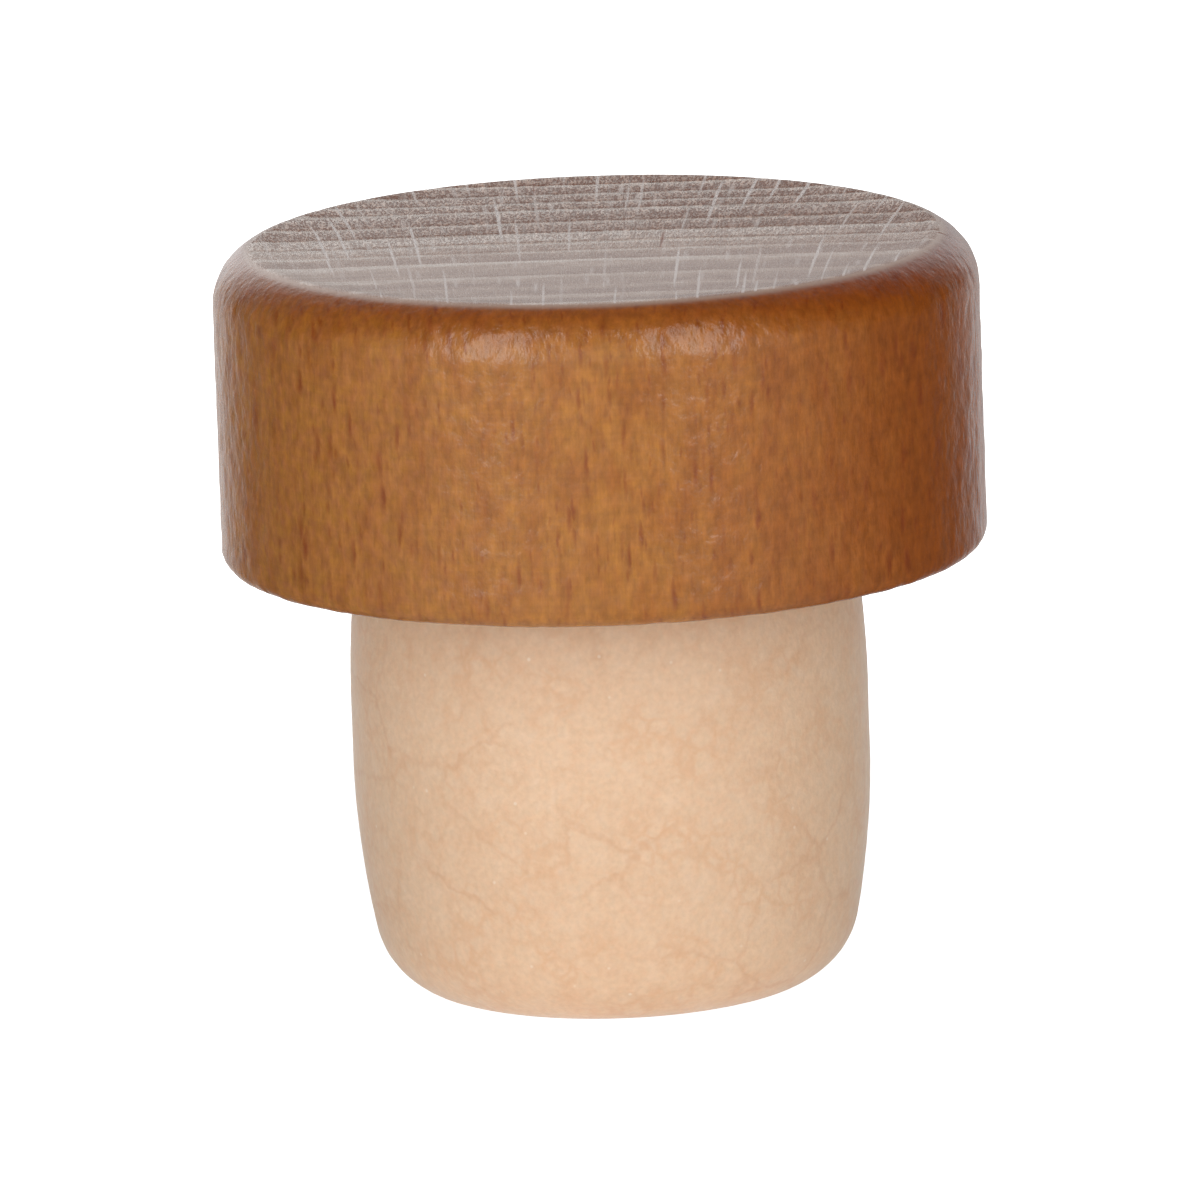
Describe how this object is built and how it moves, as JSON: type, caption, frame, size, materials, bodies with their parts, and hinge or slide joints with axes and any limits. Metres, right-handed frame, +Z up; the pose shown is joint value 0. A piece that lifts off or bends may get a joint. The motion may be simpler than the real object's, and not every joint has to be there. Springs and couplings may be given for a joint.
{
  "type": "cork stopper",
  "caption": "T-shaped bottle stopper: a round turned beech head with a rounded rim, glued on a pale barrelled cork shank with a rounded end.",
  "frame": {"origin": "centre of the shank's flat lower end, on the surface that the stopper stands on", "axes": "+Z up the stopper's axis, from the shank to the wooden head; the piece is round, so +X and +Y are free"},
  "size_m": [0.0288, 0.0288, 0.0286],
  "materials": {
    "head_wood": "brown stain under satin varnish",
    "shank_cork": "moulded, matt, faintly marbled"
  },
  "bodies": {
    "root": {"wooden_head": "head_wood", "cork_shank": "shank_cork"}
  },
  "joints": []
}
